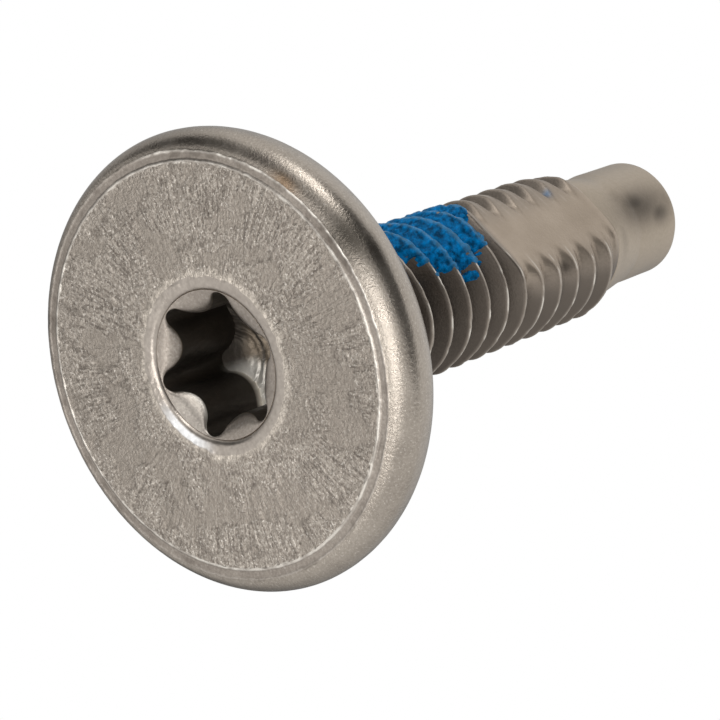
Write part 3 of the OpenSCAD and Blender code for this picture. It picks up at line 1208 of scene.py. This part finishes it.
@dataclass
class LockPatch:
    """The thread-locking nylon, thick in the grooves and thin over the crests, with a ragged edge."""

    thread: RolledThread
    start_angle: float = 118.0
    end_angle: float = 282.0
    first_turn: int = 1
    turns: int = 8
    steps: int = 150
    stations: int = 24
    film: float = 0.045
    fill: float = 0.34
    border: tuple[tuple[float, float], ...] = (
        (5.0, 216.0), (8.9, 219.0), (9.2, 234.0), (9.9, 236.0), (10.3, 252.0), (10.9, 252.0),
        (11.6, 259.0), (12.3, 262.0), (13.0, 258.0), (13.6, 255.0), (14.1, 248.0), (14.7, 230.0),
        (15.3, 212.0), (15.8, 150.0),
    )
    strewn: int = 64
    round_r: float = 3.0
    bottom: float = 6.2
    top: float = 16.0
    end_margin: float = 8.0
    back: float = 0.05
    drops: tuple[Drop, ...] = (
        Drop(266, 11.9, 0.2), Drop(272, 12.6, 0.17), Drop(271, 13.35, 0.18), Drop(250, 12.9, 0.22),
        Drop(253, 13.5, 0.15), Drop(247, 12.2, 0.18), Drop(240, 13.6, 0.2), Drop(261, 12.95, 0.18),
        Drop(262, 10.35, 0.1), Drop(248, 10.1, 0.14), Drop(233, 14.6, 0.15), Drop(243, 14.3, 0.12),
        Drop(264, 9.3, 0.11), Drop(271, 10.7, 0.08), Drop(263, 13.6, 0.18), Drop(299, 8.8, 0.12),
    )

    def beads(self) -> list[Drop]:
        """Strews small beads of nylon along the border, thinner outwards.

        Returns:
            The beads.
        """
        made = []
        for index in range(self.strewn):
            height = 9.3 + 5.2 * (index * 0.61803 % 1.0)
            out = 8.0 * (index * 0.75488 % 1.0) ** 2 - 3.0
            made.append(Drop(float(self.edge(height)) + out, height, 0.07 + 0.09 * (index * 0.56984 % 1.0)))
        return made

    def edge(self, height: np.ndarray | float) -> np.ndarray:
        """Gives the direction in degrees at which the patch ends at a height."""
        return np.interp(height, *zip(*self.border))

    def height_field(self, angle: np.ndarray, places: np.ndarray, share: np.ndarray) -> np.ndarray:
        """Gives the thickness of the nylon at each point of the thread.

        Args:
            angle: Direction of each point in degrees.
            places: Points of the bare thread in millimetres.
            share: Share of the thread's depth at each point.

        Returns:
            Thickness in millimetres, below 0 where the steel is bare.
        """
        height = places[:, 2]
        degree = math.radians(1) * self.round_r
        inside = (self.edge(height) - angle) * degree
        inside = np.minimum(inside, (angle - self.start_angle - self.end_margin) * degree)
        inside = np.minimum(inside, (height - self.bottom) * 0.8)
        inside = np.minimum(inside, (self.top - height) * 0.8)
        inside = inside + 0.4 * fuzz(places, 0.5, 4, 4.0)
        body = self.film + self.fill * (1 - share) * ease(inside, 0.0, 0.7)
        lumps = 0.06 * fuzz(places, 0.3, 2, 12.0) - 0.02
        holes = 0.16 * ease(fuzz(places, 0.32, 2, 31.0) - 0.6 * ease(inside, 0.0, 0.6), 0.1, 0.35)
        thick = (body + lumps) * ease(inside, -0.04, 0.1) - 0.06 * ease(-inside, -0.05, 0.05) - holes
        for drop in (*self.drops, *self.beads()):
            off = np.hypot((angle - drop.angle) * degree, height - drop.height)
            dome = np.sqrt(np.maximum(drop.radius**2 - off**2, 0)) - 0.2 * drop.radius
            thick = np.maximum(thick, np.where(off < drop.radius, dome, -0.1))
        return thick

    def build(self) -> bpy.types.Object:
        """Builds the patch as a closed skin over the thread.

        Returns:
            The finished piece.
        """
        sweep_angle = math.radians(self.end_angle - self.start_angle)
        count = self.stations * self.turns + 1
        piece, step, chain = sweep_chart("thread_lock_nylon", count, self.steps, angle=sweep_angle)
        angle = step * sweep_angle / step.max() + math.radians(self.start_angle)
        rise = self.thread.pitch * (chain / self.stations + self.first_turn)
        radius, height, share = self.thread.surface(angle, rise)
        radius = self.thread.flat.shape(radius, np.degrees(angle), height, self.thread.crests(angle, height))
        thick = self.height_field(np.degrees(angle), self.thread.place(radius, angle, height), share)
        write_points(piece, self.thread.place(radius + np.maximum(thick, -0.1), angle, height))
        write_mark(piece, "thin", ease(share, 0.86, 1.0))
        write_mark(piece, "depth", thick)
        self.trim(piece)
        return piece

    def trim(self, piece: bpy.types.Object) -> None:
        """Deletes what lies under the steel and gives the rest a back.

        Args:
            piece: The swept sheet.
        """
        depth = np.empty(len(piece.data.vertices), dtype=np.float32)
        piece.data.attributes["depth"].data.foreach_get("value", depth)
        deselect_all()
        piece.select_set(True)
        bpy.context.view_layer.objects.active = piece
        bpy.ops.object.mode_set(mode="EDIT")
        bpy.ops.mesh.select_mode(type="FACE")
        bpy.ops.object.mode_set(mode="OBJECT")
        for face in piece.data.polygons:
            face.select = bool(max(depth[v] for v in face.vertices) < -0.012)
        bpy.ops.object.mode_set(mode="EDIT")
        bpy.ops.mesh.delete(type="FACE")
        bpy.ops.mesh.select_mode(type="VERT")
        bpy.ops.mesh.select_all(action="SELECT")
        bpy.ops.mesh.normals_make_consistent(inside=False)
        bpy.ops.object.mode_set(mode="OBJECT")
        back = piece.modifiers.new("back", "SOLIDIFY")
        back.thickness = self.back * MM
        back.offset = -1.0
        bpy.ops.object.modifier_apply(modifier=back.name)
        bpy.ops.object.shade_smooth_by_angle(angle=math.radians(60))


@dataclass(frozen=True)
class Lamp:
    """One soft lamp, by the direction from which it shines and the direction in which it is long."""

    name: str
    turn: float
    tilt: float
    distance: float
    size: tuple[float, float]
    brightness: float
    along: tuple[float, float, float] = (0.0, 0.0, 1.0)
    colour: str = "#ffffff"


@dataclass(frozen=True)
class Flag:
    """A dark card in the white room, by its direction and the cosines at which it starts and is full."""

    turn: float
    tilt: float
    start: float
    full: float
    share: float


def aim(turn: float, tilt: float) -> Vector:
    """Gives the direction at a turn round the axis and a tilt above the level, both in degrees."""
    return Vector((*polar(math.cos(math.radians(tilt)), math.radians(turn)), math.sin(math.radians(tilt))))


@dataclass
class Studio:
    """Camera, lamps, floor and world."""

    lens: float = 141.85
    spot: tuple[float, float, float] = (1.620, -71.038, -75.513)
    forward: tuple[float, float, float] = (0.0, 0.649514, 0.760349)
    right: tuple[float, float, float] = (0.356950, -0.710260, 0.606727)
    lamps: tuple[Lamp, ...] = (
        Lamp("lamp_below", 7, -85, 150, (31, 118), 5.0, (0.0, 1.0, 0.0)),
        Lamp("lamp_left", -146, -24, 150, (32, 84), 5.6),
    )
    flags: tuple[Flag, ...] = (
        Flag(-100, -2, 0.62, 0.85, 0.84),
        Flag(150, -36, 0.83, 0.96, 0.88),
        Flag(178, -72, 0.94, 0.99, 0.4),
        Flag(100, 25, 0.4, 0.9, 0.5),
        Flag(40, 25, 0.5, 0.95, 0.3),
    )

    def camera(self) -> None:
        """Sets the camera at the photograph's viewing angle."""
        deselect_all()
        bpy.ops.object.camera_add()
        made = bpy.context.object
        made.name = "studio_camera"
        ahead, side = Vector(self.forward).normalized(), Vector(self.right).normalized()
        up = side.cross(ahead)
        turn = Matrix((side, up, -ahead)).transposed()
        made.matrix_world = Matrix.Translation(Vector(self.spot) * MM) @ turn.to_4x4()
        made.data.lens = self.lens
        made.data.sensor_width = 36.0
        made.data.clip_start = 0.005
        made.data.clip_end = 5.0
        bpy.context.scene.camera = made

    def light(self) -> None:
        """Sets the lamps round the screw, each facing it."""
        middle = Vector((0, 0, 4 * MM))
        for lamp in self.lamps:
            toward = aim(lamp.turn, lamp.tilt)
            deselect_all()
            bpy.ops.object.light_add(type="AREA", location=middle + toward * lamp.distance * MM)
            made = bpy.context.object
            made.name = lamp.name
            side = Vector(lamp.along).cross(toward).normalized()
            made.rotation_euler = Matrix((side, toward.cross(side), toward)).transposed().to_euler()
            made.data.shape = "RECTANGLE"
            made.data.size, made.data.size_y = (edge * MM for edge in lamp.size)
            made.data.energy = lamp.brightness * math.pi * lamp.size[0] * lamp.size[1] * MM * MM
            made.data.color = linear(lamp.colour)[:3]

    def floor(self) -> None:
        """Lays a pale floor that shows only from above, where it takes the shadow."""
        deselect_all()
        bpy.ops.mesh.primitive_plane_add(size=1.2)
        plane = bpy.context.object
        plane.name = "studio_floor"
        made, tree = new_material("pale_floor")
        path = add_node(tree, "LightPath").outputs["Is Camera Ray"]
        below = add_node(tree, "NewGeometry").outputs["Backfacing"]
        seen = work_out(tree, "MULTIPLY", path, work_out(tree, "SUBTRACT", 1.0, below))
        clear = add_node(tree, "BsdfTransparent").outputs[0]
        paint = add_node(tree, "BsdfDiffuse", {"Color": linear("#f4f4f2")}).outputs[0]
        both = add_node(tree, "MixShader", {0: seen, 1: clear, 2: paint}).outputs[0]
        add_node(tree, "OutputMaterial", {"Surface": both})
        plane.data.materials.append(made)

    def world(self) -> None:
        """Makes the world: white behind the screw and in what it mirrors, save for a few dark cards."""
        made = bpy.data.worlds.new("studio_world")
        made.use_nodes = True
        tree = made.node_tree
        tree.nodes.clear()
        path = add_node(tree, "LightPath")
        toward = add_node(tree, "TexCoord").outputs["Generated"]
        card: bpy.types.NodeSocket | float = 0.0
        for flag in self.flags:
            facing = {0: toward, 1: aim(flag.turn, flag.tilt)}
            near = add_node(tree, "VectorMath", facing, operation="DOT_PRODUCT").outputs["Value"]
            ends = {"Value": near, "From Min": flag.start, "From Max": flag.full}
            share = add_node(tree, "MapRange", ends, interpolation_type="SMOOTHSTEP").outputs[0]
            card = work_out(tree, "MULTIPLY_ADD", share, flag.share, card)
        unseen = work_out(tree, "SUBTRACT", 1.0, path.outputs["Is Camera Ray"])
        card = add_node(tree, "Math", {0: card, 1: unseen}, operation="MULTIPLY", use_clamp=True).outputs[0]
        level = stretch(tree, card, 0.0, 1.0, 1.0, 0.0)
        white = add_node(tree, "CombineColor", {0: level, 1: level, 2: level}).outputs[0]
        share: bpy.types.NodeSocket = path.outputs["Is Camera Ray"]
        for kind in ("Is Glossy Ray", "Is Transmission Ray"):
            share = work_out(tree, "MAXIMUM", share, path.outputs[kind])
        behind = add_node(tree, "Background", {"Color": white, "Strength": 1.0}).outputs[0]
        around = add_node(tree, "Background", {"Color": white, "Strength": 0.85}).outputs[0]
        both = add_node(tree, "MixShader", {0: share, 1: around, 2: behind}).outputs[0]
        add_node(tree, "OutputWorld", {"Surface": both})
        bpy.context.scene.world = made


def steel_finishes() -> dict[Zone, bpy.types.Material]:
    """Builds the finishes of the head.

    Returns:
        The material of each part of its skin.
    """
    face_marks = (
        Mark("dirt_and_painted_shade", "#6d655d", 0.8),
        Mark("worn", "#988f85", 0.62),
        Mark("lip", "#d6ccbf", 0.95, 0.25),
        Mark("painted_highlight", "#f2ece2", 0.95, 0.15),
    )
    return {
        # Forged face: a dull granular grain that scatters the light, with flow marks outwards, painted glints
        # in the grain and painted highlights along its edges
        Zone.FIELD: SteelFinish(
            "forged_steel_face", "#7b7269", "#bcb3a8", 0.38, 0.52, 0.13, 0.04, 2.2, 0.14, 0.6,
            330.0, 0.025, face_marks,
        ).material(),
        # Coined land and line: smoother, with a soft shine, painted glints in its grain, and painted
        # highlights along the line and the land's bead
        Zone.LAND: SteelFinish(
            "coined_steel_land", "#857c74", "#a79e94", 0.34, 0.46, 0.12, 0.012, 1.8, 0.4, 0.15,
            marks=face_marks,
        ).material(),
        # Punched mouth: smooth and a little paler, with a clear shine and a painted highlight on one side of
        # its bevel
        Zone.MOUTH: SteelFinish(
            "punched_steel_mouth", "#9d948b", "#b6ada3", 0.26, 0.38, 0.2, 0.012, 1.2,
            marks=(Mark("painted_highlight", "#ffffff", 1.0, 0.1),),
        ).material(),
        # Punched socket: brown with the punch's dried lubricant, and half dull; painted shade darkens its
        # walls and the shaded side of its floor, and a painted pool of light brightens the lit part of its
        # floor
        Zone.SOCKET: SteelFinish(
            "punched_steel_socket", "#615648", "#8f8170", 0.36, 0.52, 0.25, 0.02, 0.8, 0.5,
            marks=(Mark("dirt_and_painted_shade", "#332f2b", 0.9), Mark("painted_highlight", "#fffaf0", 1.0, 0.1)), metal=0.6,
        ).material(),
        # Upset rim: satin, with a fine grain and painted glints in it, painted shade on the hidden core and
        # in patches that mirror darker surroundings, some dirt, and a rust stain
        Zone.RIM: SteelFinish(
            "upset_steel_rim", "#91887e", "#ada499", 0.22, 0.34, 0.1, 0.016, 1.4, 0.4, 0.25,
            marks=(Mark("dirt_and_painted_shade", "#3f3b35", 0.85), Mark("rust", "#9a7448", 0.8)),
        ).material(),
    }


def fasten(piece: bpy.types.Object, node: str) -> None:
    """Hangs a finished piece on the root, hides the solid that it stands for, and reports it.

    Args:
        piece: The finished piece.
        node: The solid that it replaces.
    """
    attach(piece, "root")
    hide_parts(node)
    triangles = sum(len(face.vertices) - 2 for face in piece.data.polygons)
    LOG.info("%s: %d triangles, stands for %s", piece.name, triangles, node)


def main() -> None:
    """Builds the screw and its studio."""
    logging.basicConfig(level=logging.INFO, format="%(name)s: %(message)s")
    studio = Studio()
    studio.camera()
    head = ScrewHead()
    head_piece = head.build()
    head.dress(head_piece, steel_finishes())
    fasten(head_piece, "screw")
    flat = ClearingFlat()
    thread = RolledThread(flat)
    thread_piece = thread.build()
    # Rolled thread: tan and satin, with painted shade and some brown-grey dirt in its grooves, and crests
    # that are partly worn bright and partly painted highlight
    rolled = SteelFinish(
        "rolled_steel_thread", "#8f857a", "#a0958a", 0.42, 0.54, 0.12, 0.012, 1.2, 0.3,
        marks=(
            Mark("dirt_and_painted_shade", "#3d3732", 0.94, 0.1),
            Mark("clear", "#b3a493", 0.9),
            Mark("dark_patch", "#2f2a26"),
            Mark("crest", "#f2ece2", 0.95),
            Mark("dye", "#3f6a8e", 0.8),
        ),
    )
    thread_piece.data.materials.append(rolled.material())
    fasten(thread_piece, "screw")
    point_piece = DogPoint(flat).build()
    # Extruded point: satin, with soft darker patches beside the flat's end
    extruded = SteelFinish(
        "extruded_steel_point", "#a29686", "#b0a393", 0.36, 0.46, 0.14, 0.008, 2.4, 0.5,
        marks=(Mark("dark_patch", "#4b443d"),),
    )
    point_piece.data.materials.append(extruded.material())
    fasten(point_piece, "screw")
    patch_piece = LockPatch(thread).build()
    # Fused nylon: a lumpy satin blue that takes a soft shine, and dusty where it is thin
    patch_piece.data.materials.append(NylonFinish().material())
    fasten(patch_piece, "thread_lock_patch")
    studio.light()
    studio.floor()
    studio.world()
    bpy.context.scene.view_settings.view_transform = "Standard"


if __name__ == "__main__":
    main()
